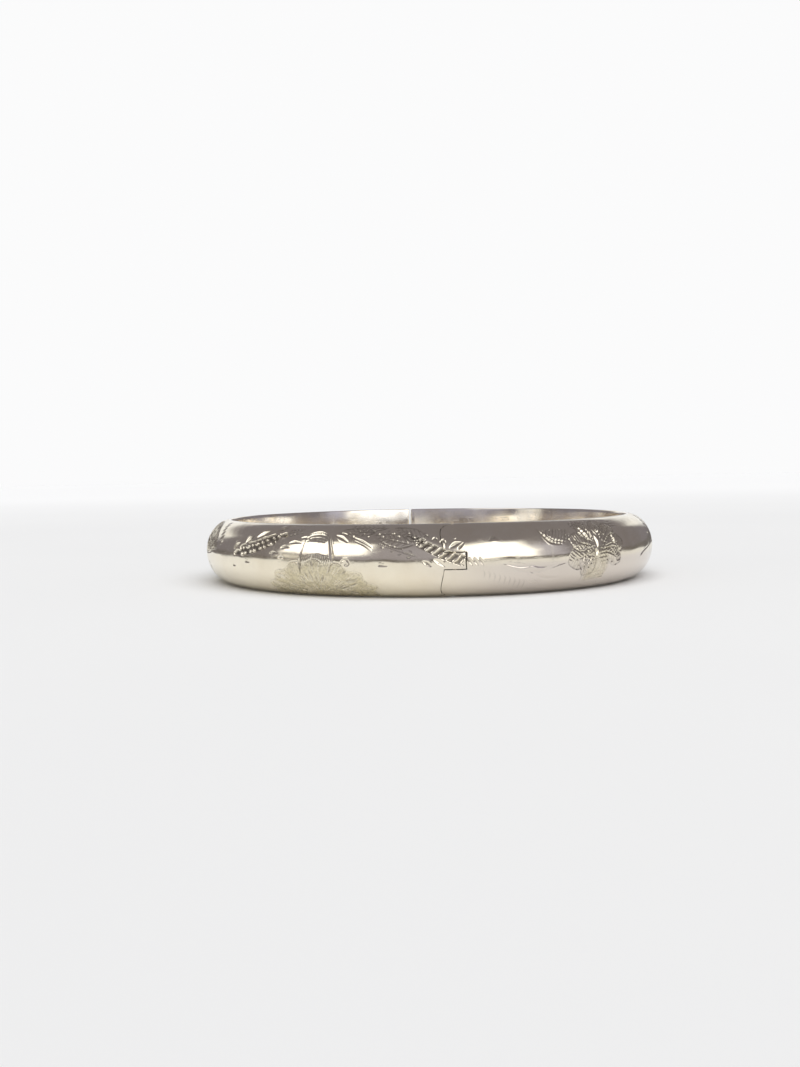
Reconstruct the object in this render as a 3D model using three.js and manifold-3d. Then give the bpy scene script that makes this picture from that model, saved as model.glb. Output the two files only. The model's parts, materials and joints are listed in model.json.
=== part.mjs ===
// Hinged oval bangle bracelet in silver, hollow, with a domed and engraved outside and a flat inner wall.
// Units are millimetres. +Z is up: the bangle lies flat on z = 0 with the centre of its oval on the Z axis.
// The hinge is at -Y and the push-in clasp at +Y, at the two ends of the oval's long axis.
// The half at -X is the catch half and the half at +X is the tongue half, which swings about the hinge pin.
import * as THREE from "three";
import { mergeVertices } from "three/addons/utils/BufferGeometryUtils.js";
import Module from "manifold-3d";

const wasm = await Module();
wasm.setup();

// ---- driving dimensions ----
const OUTER_WIDTH = 60; // across the short axis, X
const OUTER_LENGTH = 68; // across the long axis, Y, hinge to clasp
const BAND_HEIGHT = 8.2;
const BAND_THICKNESS = 3.4; // from the flat inner wall to the top of the dome
const SHEET = 0.45; // gauge of the shells and the inner walls
const JOINT_GAP = 0.03; // solder gap between pieces that are fixed together
const RUNNING_GAP = 0.1; // clearance between pieces that move past each other
const SEAM_GAP = 0.19; // each half stops this far from the clasp's mating plane

const MIDDLE = BAND_HEIGHT / 2;
const INNER_A = OUTER_WIDTH / 2 - BAND_THICKNESS; // semi-axes of the opening
const INNER_B = OUTER_LENGTH / 2 - BAND_THICKNESS;

// The hinge: three knuckles on one vertical pin, just under the crown of the dome.
const PIN_RADIUS = 0.35;
const PIN_BORE_RADIUS = PIN_RADIUS + 0.02;
const PIN_OFFSET = 2.35; // from the inner wall's face
const PIN_Y = -(INNER_B + PIN_OFFSET);
const KNUCKLE_RADIUS = 1.5;
const SEAT_RADIUS = KNUCKLE_RADIUS + RUNNING_GAP; // the round edge that faces a knuckle
const KNUCKLE_LOW = 3.25; // the middle knuckle fills this height
const KNUCKLE_HIGH = 5.15;
const HINGE_PLATE_FACE = SEAT_RADIUS + 0.05; // distance of the hinge end plates from the pin
const PLATE_THICKNESS = 0.45;

// The clasp: a folded tongue that enters a T-shaped mouth, with a thumb tab on its free leaf.
const LEAF_THICKNESS = 0.3;
const LEAF_HALF_HEIGHT = 1.35;
const TONGUE_TIP_X = -5.6;
const TONGUE_ROOT_X = 1.4;
const BASE_LEAF_Y = INNER_B + 0.55;
const FREE_LEAF_START_Y = BASE_LEAF_Y + LEAF_THICKNESS + 0.05;
const FREE_LEAF_END_X = -0.85;
const FREE_LEAF_END_Y = INNER_B + 1.9;
const SLOT_LOW_Y = INNER_B + 0.5;
const SLOT_HIGH_Y = INNER_B + 1.8;
const SLOT_HALF_HEIGHT = LEAF_HALF_HEIGHT + 0.1;
const NOTCH_HALF_HEIGHT = 1.05;
const NOTCH_LENGTH = 2.25;
const TAB_HALF_HEIGHT = 0.9;
const TAB_START_X = -2;
const TAB_END_X = -0.9;
const TAB_PROUD = 0.5; // stands this far above the dome

// Fineness of the facets.
const HALF_STEPS = 48;
const LOCAL_STEPS = 8;
const ARC_STEPS = 12;
const CYLINDER_SEGMENTS = 40;
const FAR = 40; // longer than anything that is cut
const TALL = [-1, BAND_HEIGHT + 1]; // past both edges of the band

const DEGREE = Math.PI / 180;
const HINGE_ANGLE = 270 * DEGREE;
const CLASP_ANGLE = 90 * DEGREE;
const OVERRUN = 5 * DEGREE; // a half is swept this far past its seams and then cut

// ---- joining and cutting ----
function toSolid(geometry) {
  const bare = geometry.clone();
  bare.deleteAttribute("normal");
  bare.deleteAttribute("uv");
  const merged = mergeVertices(bare, 1e-5);
  const triVerts = new Uint32Array(merged.index.array);
  const make = () =>
    new wasm.Manifold(
      new wasm.Mesh({
        numProp: 3,
        vertProperties: merged.attributes.position.array,
        triVerts,
      }),
    );
  const made = make();
  if (made.volume() > 0) return made;
  for (let i = 0; i < triVerts.length; i += 3)
    [triVerts[i + 1], triVerts[i + 2]] = [triVerts[i + 2], triVerts[i + 1]];
  return make();
}

function toGeometry(solid) {
  const mesh = solid.getMesh();
  return new THREE.BufferGeometry()
    .setAttribute("position", new THREE.BufferAttribute(mesh.vertProperties, 3))
    .setIndex(new THREE.BufferAttribute(mesh.triVerts, 1));
}

function box(lowX, highX, lowY, highY, [lowZ, highZ]) {
  const geometry = new THREE.BoxGeometry(highX - lowX, highY - lowY, highZ - lowZ);
  geometry.translate((lowX + highX) / 2, (lowY + highY) / 2, (lowZ + highZ) / 2);
  return toSolid(geometry);
}

// A box whose height is centred on the band's.
function atMiddle(lowX, highX, lowY, highY, halfHeight) {
  return box(lowX, highX, lowY, highY, [MIDDLE - halfHeight, MIDDLE + halfHeight]);
}

// A vertical cylinder about the hinge pin's axis.
function aboutPin(radius, [lowZ, highZ]) {
  const geometry = new THREE.CylinderGeometry(radius, radius, highZ - lowZ, CYLINDER_SEGMENTS);
  geometry.rotateX(Math.PI / 2);
  geometry.translate(0, PIN_Y, (lowZ + highZ) / 2);
  return toSolid(geometry);
}

// An outline in plan, given as [x, y] points, made into a piece centred on the band's height.
function upright(points, halfHeight) {
  const shape = new THREE.Shape(points.map(([x, y]) => new THREE.Vector2(x, y)));
  const geometry = new THREE.ExtrudeGeometry(shape, { depth: 2 * halfHeight, bevelEnabled: false });
  geometry.translate(0, 0, MIDDLE - halfHeight);
  return toSolid(geometry);
}

// ---- the oval band ----
// The edge of the opening, which every section is swept along.
class OpeningEdge extends THREE.Curve {
  constructor(startAngle, endAngle) {
    super();
    this.startAngle = startAngle;
    this.endAngle = endAngle;
  }
  getPoint(share, target = new THREE.Vector3()) {
    const angle = THREE.MathUtils.lerp(this.startAngle, this.endAngle, share);
    return target.set(INNER_A * Math.cos(angle), INNER_B * Math.sin(angle), 0);
  }
}

// Sweeps a section of [offset from the opening's edge, z] points around part of the band.
// Along a level path ExtrudeGeometry turns a section's x to -Z and its y inwards.
function sweep(section, startAngle, endAngle, steps) {
  const shape = new THREE.Shape(section.map(([offset, z]) => new THREE.Vector2(-z, -offset)));
  const extrudePath = new OpeningEdge(startAngle, endAngle);
  return toSolid(new THREE.ExtrudeGeometry(shape, { steps, extrudePath, bevelEnabled: false }));
}

// Half an ellipse that bulges outwards, from its lower end to its upper one, cut off at startOffset.
function dome(thickness, halfHeight, startOffset) {
  const reach = Math.acos(startOffset / thickness);
  return Array.from({ length: ARC_STEPS + 1 }, (_, i) => {
    const angle = THREE.MathUtils.lerp(-reach, reach, i / ARC_STEPS);
    return [thickness * Math.cos(angle), MIDDLE + halfHeight * Math.sin(angle)];
  });
}

const SHELL_START = SHEET + 0.02; // the shells are soldered onto the inner walls here
const outerDome = dome(BAND_THICKNESS, MIDDLE, SHELL_START);
const innerDome = dome(BAND_THICKNESS - SHEET, MIDDLE - SHEET, SHELL_START);
const shellSection = [...outerDome, ...innerDome.reverse()];
const envelopeSection = dome(BAND_THICKNESS, MIDDLE, 0);
const insideSection = dome(
  BAND_THICKNESS - SHEET - JOINT_GAP,
  MIDDLE - SHEET - JOINT_GAP,
  SHEET + JOINT_GAP,
);
const EDGE_BREAK = 0.08; // the inner wall's corners are broken by this much
const wallSection = [
  [EDGE_BREAK, 0],
  [SHEET, 0],
  [SHEET, BAND_HEIGHT],
  [EDGE_BREAK, BAND_HEIGHT],
  [0, BAND_HEIGHT - EDGE_BREAK],
  [0, EDGE_BREAK],
];

const nearHinge = [HINGE_ANGLE - 2 * OVERRUN, HINGE_ANGLE + 2 * OVERRUN, LOCAL_STEPS];
const nearClasp = [CLASP_ANGLE - 2 * OVERRUN, CLASP_ANGLE + 2 * OVERRUN, LOCAL_STEPS];
const insideAtHinge = sweep(insideSection, ...nearHinge);
const insideAtClasp = sweep(insideSection, ...nearClasp);
const envelopeAtHinge = sweep(envelopeSection, ...nearHinge);

// side is -1 for the catch half and +1 for the tongue half.
function sweptHalf(section, side) {
  const middle = side < 0 ? 180 * DEGREE : 0;
  return sweep(section, middle - 90 * DEGREE - OVERRUN, middle + 90 * DEGREE + OVERRUN, HALF_STEPS);
}

// Everything on the other half's side of the vertical plane x = side * distance.
function beyond(side, distance, lowY, highY, heights = TALL) {
  const edge = side * distance;
  return side > 0 ? box(-FAR, edge, lowY, highY, heights) : box(edge, FAR, lowY, highY, heights);
}

// A slab that faces the joint, from near to near + thickness away from it on one half's side.
function slab(side, near, thickness, lowY, highY, heights = TALL) {
  const [low, high] = side > 0 ? [near, near + thickness] : [-near - thickness, -near];
  return box(low, high, lowY, highY, heights);
}

// ---- the heights that the hinge's knuckles fill ----
const middleKnuckle = [KNUCKLE_LOW + RUNNING_GAP / 2, KNUCKLE_HIGH - RUNNING_GAP / 2];
const middleRoom = [KNUCKLE_LOW - RUNNING_GAP / 2, KNUCKLE_HIGH + RUNNING_GAP / 2];
const lowerKnuckle = [SHEET, middleRoom[0]];
const upperKnuckle = [middleRoom[1], BAND_HEIGHT - SHEET];

// ---- the outer shells ----
// A half reaches over its own knuckles as far as their round barrel.
function pastOwnKnuckle(side, heights) {
  return beyond(side, RUNNING_GAP / 2, -FAR, 0, heights).subtract(aboutPin(KNUCKLE_RADIUS, heights));
}

// It stops at a round seat where it faces the other half's knuckles.
function pastSeat(side, heights) {
  return beyond(side, RUNNING_GAP / 2, -FAR, 0, heights).add(aboutPin(SEAT_RADIUS, heights));
}

function outerShell(side) {
  const shell = sweptHalf(shellSection, side)
    .subtract(beyond(side, SEAM_GAP, 0, FAR))
    .subtract(pastOwnKnuckle(side, TALL));
  if (side < 0) {
    return shell
      .subtract(pastSeat(side, [TALL[0], middleKnuckle[0]]))
      .subtract(pastSeat(side, [middleKnuckle[1], TALL[1]]))
      .subtract(atMiddle(-NOTCH_LENGTH, 1, 0, FAR, NOTCH_HALF_HEIGHT));
  }
  return shell.subtract(pastSeat(side, middleRoom)).subtract(aboutPin(PIN_BORE_RADIUS, TALL));
}

function innerWall(side) {
  return sweptHalf(wallSection, side)
    .subtract(beyond(side, SEAM_GAP, 0, FAR))
    .subtract(beyond(side, SEAM_GAP / 2, -FAR, 0));
}

// ---- the hinge ----
function hingeEndPlate(side) {
  return insideAtHinge.intersect(slab(side, HINGE_PLATE_FACE, PLATE_THICKNESS, -FAR, 0));
}

function knuckle(heights) {
  return aboutPin(KNUCKLE_RADIUS, heights)
    .subtract(aboutPin(PIN_BORE_RADIUS, TALL))
    .intersect(insideAtHinge);
}

// The block that joins a knuckle to its half's end plate, with a round seat for the barrel.
function knuckleBearer(side, heights) {
  const length = HINGE_PLATE_FACE - JOINT_GAP - RUNNING_GAP;
  return insideAtHinge
    .intersect(slab(side, RUNNING_GAP, length, -FAR, 0, heights))
    .subtract(aboutPin(KNUCKLE_RADIUS + JOINT_GAP, TALL));
}

// The pin is filed flush with the dome at both ends.
function hingePin() {
  return aboutPin(PIN_RADIUS, TALL).intersect(envelopeAtHinge);
}

// ---- the clasp ----
// The plates stand a little behind the edges of their shells.
const CLASP_PLATE_FACE = SEAM_GAP + 0.02;

function mouthPlate() {
  return insideAtClasp
    .intersect(slab(-1, CLASP_PLATE_FACE, PLATE_THICKNESS, 0, FAR))
    .subtract(atMiddle(-1, 1, SLOT_LOW_Y, SLOT_HIGH_Y, SLOT_HALF_HEIGHT))
    .subtract(atMiddle(-1, 1, SLOT_LOW_Y, FAR, NOTCH_HALF_HEIGHT));
}

function tongueEndPlate() {
  const low = BASE_LEAF_Y - JOINT_GAP;
  const high = BASE_LEAF_Y + LEAF_THICKNESS + JOINT_GAP;
  return insideAtClasp
    .intersect(slab(1, CLASP_PLATE_FACE, PLATE_THICKNESS, 0, FAR))
    .subtract(atMiddle(-1, 1, low, high, LEAF_HALF_HEIGHT + JOINT_GAP));
}

// The fixed leaf of the tongue, with its rounded tip.
function baseLeaf() {
  const nose = LEAF_THICKNESS / 2;
  return upright(
    [
      [TONGUE_ROOT_X, BASE_LEAF_Y],
      [TONGUE_ROOT_X, BASE_LEAF_Y + LEAF_THICKNESS],
      [TONGUE_TIP_X, BASE_LEAF_Y + LEAF_THICKNESS],
      [TONGUE_TIP_X - nose, BASE_LEAF_Y + nose],
      [TONGUE_TIP_X, BASE_LEAF_Y],
    ],
    LEAF_HALF_HEIGHT,
  );
}

// The springing leaf, from the fold at the tip to the edge that catches behind the mouth plate.
function freeLeaf() {
  return upright(
    [
      [TONGUE_TIP_X, FREE_LEAF_START_Y],
      [FREE_LEAF_END_X, FREE_LEAF_END_Y],
      [FREE_LEAF_END_X, FREE_LEAF_END_Y + LEAF_THICKNESS],
      [TONGUE_TIP_X, FREE_LEAF_START_Y + LEAF_THICKNESS],
    ],
    LEAF_HALF_HEIGHT,
  );
}

// The thumb tab stands on the free leaf's end and out through the notch, with a rounded top.
function thumbTab() {
  const slope = (FREE_LEAF_END_Y - FREE_LEAF_START_Y) / (FREE_LEAF_END_X - TONGUE_TIP_X);
  const leafTop = (x) =>
    FREE_LEAF_START_Y + LEAF_THICKNESS + slope * (x - TONGUE_TIP_X) + JOINT_GAP;
  const top = OUTER_LENGTH / 2 + TAB_PROUD;
  const rounding = 0.2;
  return upright(
    [
      [TAB_START_X, leafTop(TAB_START_X)],
      [TAB_END_X, leafTop(TAB_END_X)],
      [TAB_END_X, top - rounding],
      [TAB_END_X - rounding, top],
      [TAB_START_X + rounding, top],
      [TAB_START_X, top - rounding],
    ],
    TAB_HALF_HEIGHT,
  );
}

// ---- materials ----
function metal(color, roughness) {
  return new THREE.MeshStandardMaterial({ color, roughness, metalness: 1 });
}
const engravedSilver = () => metal(0xd8d4c8, 0.16);
const polishedSilver = () => metal(0xd6d2c8, 0.12);
const sawnSilver = () => metal(0xc4c0b4, 0.35);
const springSilver = () => metal(0xc9c8c2, 0.25);

// ---- assembly ----
const bangle = new THREE.Group();
function addPiece(group, name, solid, material) {
  const mesh = new THREE.Mesh(toGeometry(solid), material);
  mesh.name = name;
  group.add(mesh);
}

const halves = [
  { name: "catch_half", side: -1 },
  { name: "tongue_half", side: 1 },
];
const groups = {};
for (const { name, side } of halves) {
  const group = new THREE.Group();
  addPiece(group, `${name}_outer_shell`, outerShell(side), engravedSilver());
  addPiece(group, `${name}_inner_wall`, innerWall(side), polishedSilver());
  addPiece(group, `${name}_hinge_end_plate`, hingeEndPlate(side), sawnSilver());
  groups[name] = group;
  bangle.add(group);
}

const catchHalf = groups.catch_half;
addPiece(catchHalf, "hinge_middle_knuckle", knuckle(middleKnuckle), sawnSilver());
addPiece(catchHalf, "middle_knuckle_bearer", knuckleBearer(-1, middleKnuckle), sawnSilver());
addPiece(catchHalf, "clasp_mouth_plate", mouthPlate(), sawnSilver());

const tongueHalf = groups.tongue_half;
addPiece(tongueHalf, "hinge_upper_knuckle", knuckle(upperKnuckle), sawnSilver());
addPiece(tongueHalf, "hinge_lower_knuckle", knuckle(lowerKnuckle), sawnSilver());
addPiece(tongueHalf, "upper_knuckle_bearer", knuckleBearer(1, upperKnuckle), sawnSilver());
addPiece(tongueHalf, "lower_knuckle_bearer", knuckleBearer(1, lowerKnuckle), sawnSilver());
addPiece(tongueHalf, "hinge_pin", hingePin(), springSilver());
addPiece(tongueHalf, "tongue_end_plate", tongueEndPlate(), sawnSilver());
addPiece(tongueHalf, "tongue_base_leaf", baseLeaf(), springSilver());

const springLeaf = new THREE.Group();
addPiece(springLeaf, "tongue_free_leaf", freeLeaf(), springSilver());
addPiece(springLeaf, "thumb_tab", thumbTab(), polishedSilver());
bangle.add(springLeaf);

export default bangle;
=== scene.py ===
"""Hinged oval bangle in engraved silver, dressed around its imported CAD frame.

Lengths are in millimetres until a mesh is made. A place on the band's outside is (along, up): along is the
length of the dome's crown from the hinge, minus on the catch half, and up is the length over the dome from
its crown.
"""

import json
import math

import bpy
import numpy as np
from mathutils import Matrix, Vector


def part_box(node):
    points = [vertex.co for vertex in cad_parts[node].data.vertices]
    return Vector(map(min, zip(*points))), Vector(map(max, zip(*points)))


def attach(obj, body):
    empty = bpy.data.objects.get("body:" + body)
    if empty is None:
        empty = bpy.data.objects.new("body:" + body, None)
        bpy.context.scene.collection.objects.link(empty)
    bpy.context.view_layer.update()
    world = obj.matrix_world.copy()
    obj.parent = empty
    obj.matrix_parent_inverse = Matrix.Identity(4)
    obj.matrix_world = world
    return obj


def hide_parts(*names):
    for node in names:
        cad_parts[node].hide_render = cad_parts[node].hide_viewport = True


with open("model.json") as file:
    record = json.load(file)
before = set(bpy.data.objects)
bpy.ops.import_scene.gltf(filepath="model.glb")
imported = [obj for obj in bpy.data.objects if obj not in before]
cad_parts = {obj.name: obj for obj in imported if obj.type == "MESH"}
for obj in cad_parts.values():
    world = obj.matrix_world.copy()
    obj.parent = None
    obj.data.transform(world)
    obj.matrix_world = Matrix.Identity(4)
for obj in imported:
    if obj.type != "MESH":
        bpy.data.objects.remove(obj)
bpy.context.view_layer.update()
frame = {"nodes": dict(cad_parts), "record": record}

MM = 0.001

# ---- the band's sizes, from the frame ----
shell_low, _ = (np.array(c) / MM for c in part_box("catch_half_outer_shell"))
_, wall_high = (np.array(c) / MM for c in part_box("catch_half_inner_wall"))
pin_low, pin_high = (np.array(c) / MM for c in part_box("hinge_pin"))
knuckle_low, knuckle_high = (np.array(c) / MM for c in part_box("hinge_middle_knuckle"))
tab_low, tab_high = (np.array(c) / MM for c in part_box("thumb_tab"))

HEIGHT = wall_high[2]
MIDDLE = HEIGHT / 2
THICKNESS = 3.4  # from the wrist side to the crown of the dome
SHEET = 0.45  # the metal's gauge
OPEN_A = -shell_low[0] - THICKNESS  # semi-axes of the wrist opening
OPEN_B = -shell_low[1] - THICKNESS
SEAM_GAP = -wall_high[0] * 2  # each half stops this far from the clasp's mating plane
HINGE_GAP = 0.05  # and this far from the plane through the hinge
PIN_Y = (pin_low[1] + pin_high[1]) / 2
PIN_BORE = (pin_high[0] - pin_low[0]) / 2 + 0.02  # a radius, as are the next three
BARREL = 1.5  # the knuckles' outside
SEAT = BARREL + 0.1  # the hollow in the tongue half that the middle knuckle turns in
CLOSE_SEAT = BARREL + 0.07  # the catch half's hollows fit their knuckles more closely
KNUCKLE_ROOM = 0.1  # above and below the middle knuckle
NOTCH_HALF_HEIGHT = 1.05  # the notch is where the thumb tab comes out
NOTCH_LENGTH = 2.25
FAR = 60.0  # well outside the band


# ---- the shape of the band ----
def running_length(x, y):
    return np.concatenate([[0], np.cumsum(np.hypot(np.diff(x), np.diff(y)))])


def plan_normal(angle):
    """The outward direction of the opening's edge, in plan."""
    x, y = OPEN_B * np.cos(angle), OPEN_A * np.sin(angle)
    size = np.hypot(x, y)
    return x / size, y / size


_angles = np.radians(np.linspace(-110, 290, 8001))
_nx, _ny = plan_normal(_angles)
_crown = running_length(
    OPEN_A * np.cos(_angles) + _nx * THICKNESS, OPEN_B * np.sin(_angles) + _ny * THICKNESS
)
_crown -= np.interp(math.radians(-90), _angles, _crown)
_tilts = np.radians(np.linspace(-90, 90, 1001))
_over = running_length(THICKNESS * np.cos(_tilts), MIDDLE * np.sin(_tilts))
_over -= _over[len(_over) // 2]
HALF_LENGTH = np.interp(math.radians(90), _angles, _crown)
RIM = np.interp(math.acos(SHEET / THICKNESS), _tilts, _over)  # up, where dome and inner wall meet


def plan_point(along, offset):
    """A point that far from the opening's edge. The catch half mirrors the other."""
    angle = np.interp(np.abs(along), _crown, _angles)
    side = np.where(along < 0, -1.0, 1.0)
    nx, ny = plan_normal(angle)
    return side * (OPEN_A * np.cos(angle) + nx * offset), OPEN_B * np.sin(angle) + ny * offset


def dome_point(along, up, proud):
    """A point on the outside of the band, raised off the dome by proud."""
    tilt = np.interp(up, _over, _tilts)
    across, rise = np.cos(tilt) / THICKNESS, np.sin(tilt) / MIDDLE
    size = np.hypot(across, rise)
    offset = THICKNESS * np.cos(tilt) + proud * across / size
    x, y = plan_point(along, offset)
    return np.stack([x, y, MIDDLE + MIDDLE * np.sin(tilt) + proud * rise / size], -1)


# ---- meshes ----
def add_object(name, data):
    made = bpy.data.objects.new(name, data)
    bpy.context.scene.collection.objects.link(made)
    return made


def make_object(name, points, faces):
    mesh = bpy.data.meshes.new(name)
    mesh.from_pydata((np.asarray(points) * MM).tolist(), [], faces)
    mesh.update()
    return add_object(name, mesh)


def grid_quads(numbers, flip=False):
    """Faces over a grid of vertex numbers."""
    corners = numbers[:-1, :-1], numbers[:-1, 1:], numbers[1:, 1:], numbers[1:, :-1]
    quads = np.stack(corners, -1).reshape(-1, 4)
    return (quads[:, ::-1] if flip else quads).tolist()


def prism(name, outline, low, high):
    """An upright prism. outline is its [x, y] points in plan, anticlockwise."""
    count = len(outline)
    points = [(x, y, z) for z in (low, high) for x, y in outline]
    sides = [(i, (i + 1) % count, (i + 1) % count + count, i + count) for i in range(count)]
    return make_object(name, points, [tuple(range(count))[::-1], tuple(range(count, 2 * count)), *sides])


def smooth(made, sharp_degrees):
    made.data.polygons.foreach_set("use_smooth", [True] * len(made.data.polygons))
    made.data.set_sharp_from_angle(angle=math.radians(sharp_degrees))


def apply_modifiers(made):
    graph = bpy.context.evaluated_depsgraph_get()
    finished = bpy.data.meshes.new_from_object(made.evaluated_get(graph))
    finished.name = made.name
    made.modifiers.clear()
    made.data = finished


def cut(made, outline, low, high):
    """Takes an upright prism out of a piece."""
    tool = prism("cutter", outline, low, high)
    modifier = made.modifiers.new("cut", "BOOLEAN")
    modifier.operation = "DIFFERENCE"
    modifier.solver = "MANIFOLD"
    modifier.object = tool
    apply_modifiers(made)
    bpy.data.objects.remove(tool)


def arc(radius, start, end, steps=48):
    """Points on a circle about the hinge pin, angles in degrees."""
    turn = np.radians(np.linspace(start, end, steps))
    return [(radius * math.cos(a), PIN_Y + radius * math.sin(a)) for a in turn]


def box_outline(low_x, high_x, low_y, high_y):
    return [(low_x, low_y), (high_x, low_y), (high_x, high_y), (low_x, high_y)]


# ---- the engraver's tools ----
def clamp(values):
    return np.clip(values, 0, 1)


def curve_through(points, steps=6):
    """A smooth line through a few points (Catmull-Rom)."""
    points = np.asarray(points, float)
    if len(points) < 3:
        return np.linspace(points[0], points[-1], steps + 1)
    padded = np.vstack([2 * points[0] - points[1], points, 2 * points[-1] - points[-2]])
    share = np.linspace(0, 1, steps, endpoint=False)[:, None]
    spans = []
    for before, start, end, after in zip(padded, padded[1:], padded[2:], padded[3:]):
        square = (2 * before - 5 * start + 4 * end - after) * share**2
        cube = (3 * start - before - 3 * end + after) * share**3
        spans.append(0.5 * (2 * start + (end - before) * share + square + cube))
    return np.vstack([*spans, points[-1:]])


def nearest(path, along, up):
    """Each place's distance from a line, its side and how far along it lies, and the line's length."""
    start, step = path[:-1, None, None], np.diff(path, axis=0)[:, None, None]
    length = np.linalg.norm(step, axis=-1)
    place = np.stack([along, up], -1)[None]
    share = clamp(((place - start) * step).sum(-1) / length**2)
    away = place - start - share[..., None] * step
    distance = np.linalg.norm(away, axis=-1)
    best = distance.argmin(0)[None]
    travelled = np.cumsum(length[:, 0, 0]) - length[:, 0, 0]
    run = travelled[:, None, None] + share * length
    cross = step[..., 0] * away[..., 1] - step[..., 1] * away[..., 0]
    distance, cross, run = (np.take_along_axis(values, best, 0)[0] for values in (distance, cross, run))
    return distance, np.sign(cross), run, travelled[-1] + length[-1, 0, 0]


def inside(outline, along, up):
    """Whether each place lies inside a closed outline."""
    result = np.zeros(along.shape, bool)
    for (a0, u0), (a1, u1) in zip(outline, np.roll(outline, -1, axis=0)):
        if u0 != u1:
            crosses = (u0 > up) != (u1 > up)
            result ^= crosses & (along < (a1 - a0) * (up - u0) / (u1 - u0) + a0)
    return result


def closed(outline):
    return np.vstack([outline, outline[:1]])


def direction(degrees):
    """The unit vector that way, over (along, up)."""
    return np.array([math.cos(math.radians(degrees)), math.sin(math.radians(degrees))])


def resample(line, places):
    return np.interp(places, np.arange(line.size), line)


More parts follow.
